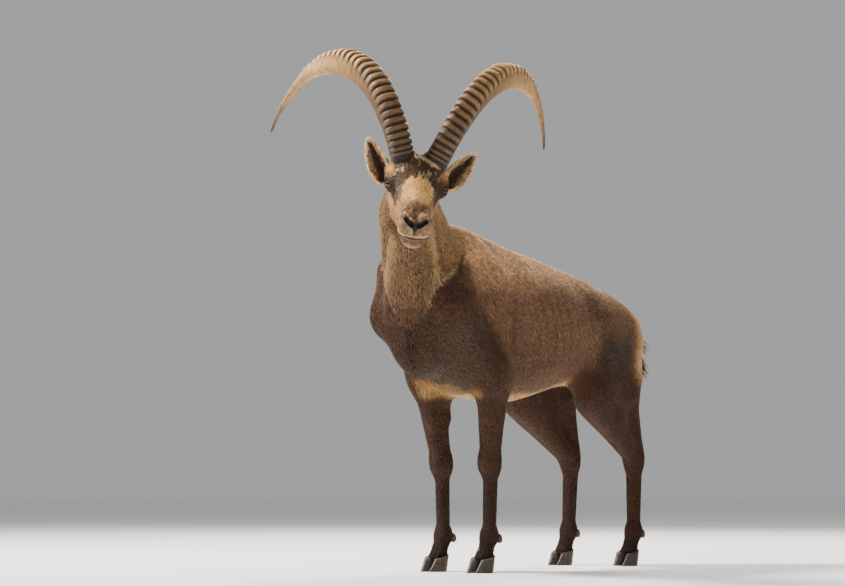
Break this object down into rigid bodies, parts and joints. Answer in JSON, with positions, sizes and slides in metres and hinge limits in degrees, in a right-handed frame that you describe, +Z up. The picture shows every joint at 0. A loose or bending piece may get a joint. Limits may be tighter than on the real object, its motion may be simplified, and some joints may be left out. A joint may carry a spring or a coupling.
{
  "type": "alpine ibex",
  "caption": "Life-size standing alpine ibex, a still museum-type model with long ridged back-curved horns and its head turned to its left.",
  "frame": {"origin": "on the floor under the middle of the whole model's box", "axes": "+Z up, the animal's body faces -Y and its left side is +X; the head turns towards +X"},
  "size_m": [0.7416, 1.3392, 1.3167],
  "materials": {
    "coat": "short dense hair",
    "face_coat": "short dense hair",
    "leg_coat": "short dense hair",
    "tail_hair": "longer hair",
    "horn": "dry ridged keratin",
    "hoof": "worn keratin",
    "eye": "wet and clear"
  },
  "bodies": {
    "root": {"torso": "coat", "neck": "coat", "head": "face_coat", "ear_left": "face_coat", "ear_right": "face_coat", "eye_left": "eye", "eye_right": "eye", "horn_left": "horn", "horn_right": "horn", "tail": "tail_hair", "foreleg_upper_left": "leg_coat", "foreleg_upper_right": "leg_coat", "foreleg_lower_left": "leg_coat", "foreleg_lower_right": "leg_coat", "hindleg_upper_left": "leg_coat", "hindleg_upper_right": "leg_coat", "hindleg_lower_left": "leg_coat", "hindleg_lower_right": "leg_coat", "claw_outer_fore_left": "hoof", "claw_inner_fore_left": "hoof", "claw_outer_fore_right": "hoof", "claw_inner_fore_right": "hoof", "claw_outer_hind_left": "hoof", "claw_inner_hind_left": "hoof", "claw_outer_hind_right": "hoof", "claw_inner_hind_right": "hoof"}
  },
  "joints": []
}
